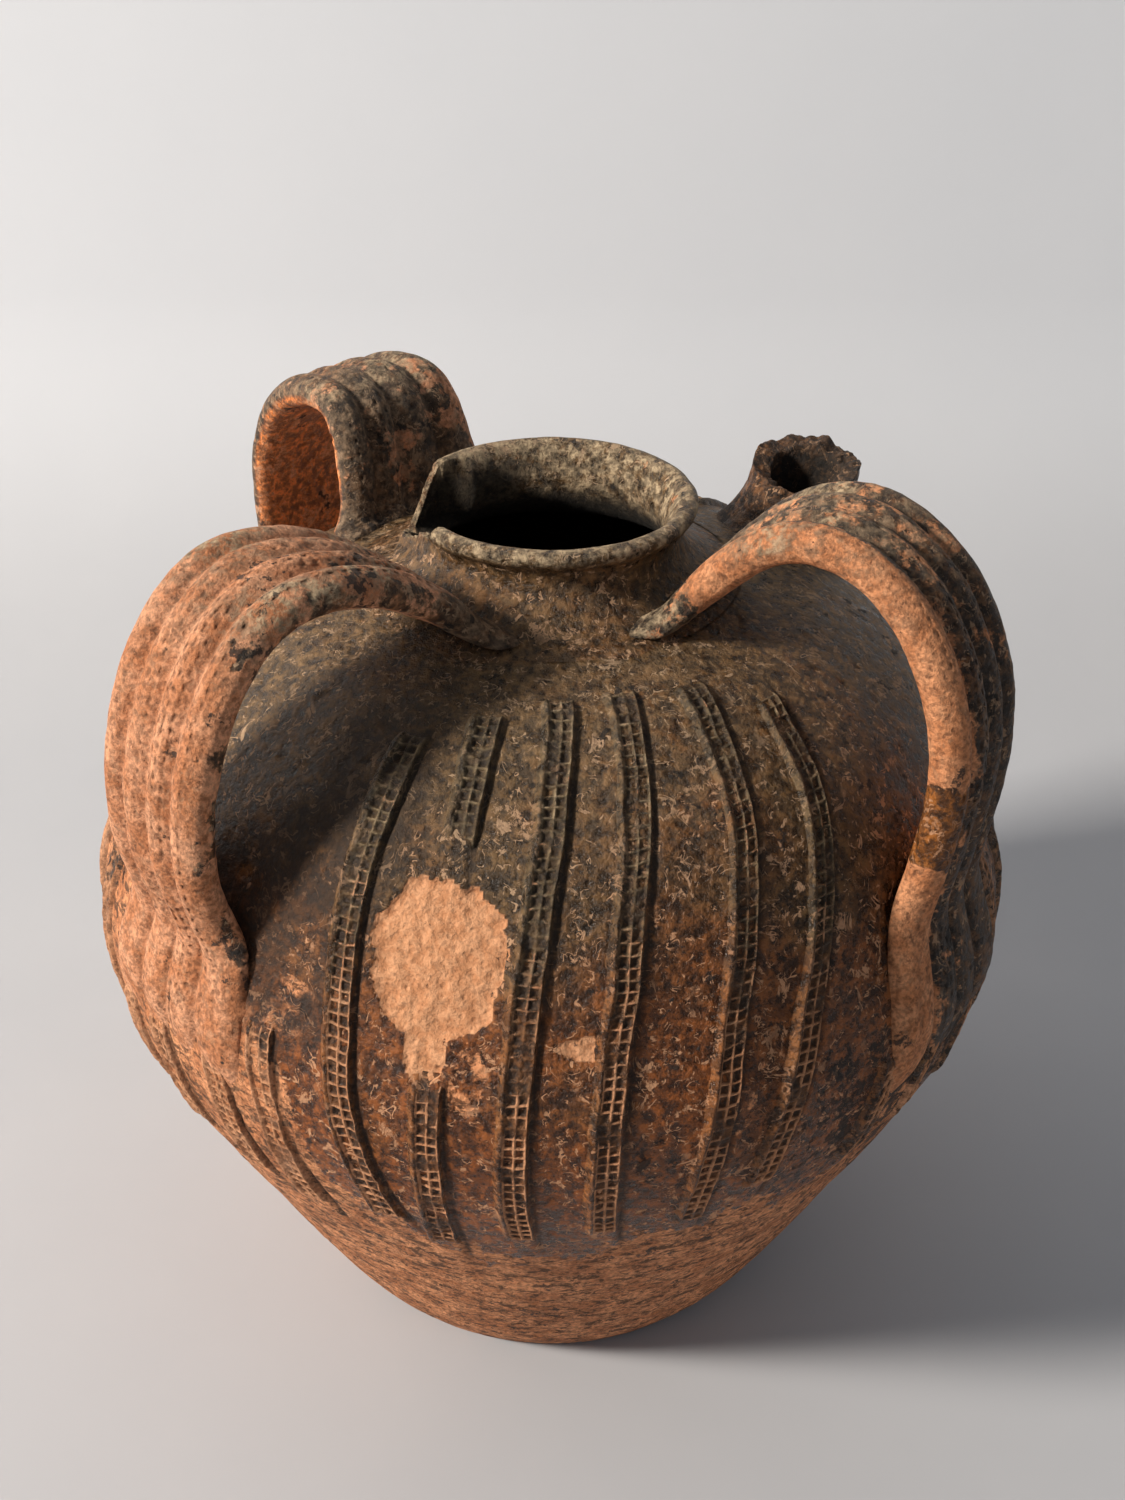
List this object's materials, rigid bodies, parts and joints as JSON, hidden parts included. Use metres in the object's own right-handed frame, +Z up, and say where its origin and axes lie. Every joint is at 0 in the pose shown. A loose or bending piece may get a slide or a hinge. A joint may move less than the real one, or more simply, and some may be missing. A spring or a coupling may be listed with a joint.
{
  "type": "amphora",
  "caption": "Round-bodied storage jar with a flat base, a short flared neck, ribbed strap handles, a broken pouring spout and applied vertical strips; it stores and pours liquids.",
  "frame": {"origin": "centre of the flat base, on the jar's axis", "axes": "+Z up along the jar's axis, -Y towards the front, which has the six long strips, +X to the right"},
  "size_m": [0.3868, 0.3861, 0.3957],
  "materials": {
    "glazed_brown": "worn glossy amber-brown lead glaze with chips and dust",
    "bare_terracotta": "unglazed fired clay, rough, dusty",
    "smoked_clay": "fired clay darkened by smoke and soot, matt",
    "strip_clay": "applied clay strip with a rouletted grid, worn glaze"
  },
  "bodies": {
    "root": {"body": "glazed_brown", "collar": "glazed_brown", "handle_front_left": "bare_terracotta", "handle_front_right": "smoked_clay", "handle_rear_left": "bare_terracotta", "spout_stump": "smoked_clay", "strip_front_1": "strip_clay", "strip_front_2_lower": "strip_clay", "strip_front_2_upper": "strip_clay", "strip_front_3": "strip_clay", "strip_front_4": "strip_clay", "strip_front_5": "strip_clay", "strip_front_6": "strip_clay", "strip_left_1": "strip_clay", "strip_left_2": "strip_clay", "strip_left_3": "strip_clay", "strip_right_1": "strip_clay", "strip_right_2": "strip_clay", "strip_right_3": "strip_clay", "strip_back_01": "strip_clay", "strip_back_02": "strip_clay", "strip_back_03": "strip_clay", "strip_back_04": "strip_clay", "strip_back_05": "strip_clay", "strip_back_06": "strip_clay", "strip_back_07": "strip_clay", "strip_back_08": "strip_clay", "strip_back_09": "strip_clay", "strip_back_10": "strip_clay", "strip_back_11": "strip_clay", "strip_back_12": "strip_clay", "strip_back_13": "strip_clay", "strip_back_14": "strip_clay", "strip_back_15": "strip_clay", "strip_back_16": "strip_clay", "strip_back_17": "strip_clay", "strip_back_18": "strip_clay", "strip_back_19": "strip_clay", "strip_back_20": "strip_clay", "strip_back_21": "strip_clay", "strip_back_22": "strip_clay", "strip_back_23": "strip_clay"}
  },
  "joints": []
}
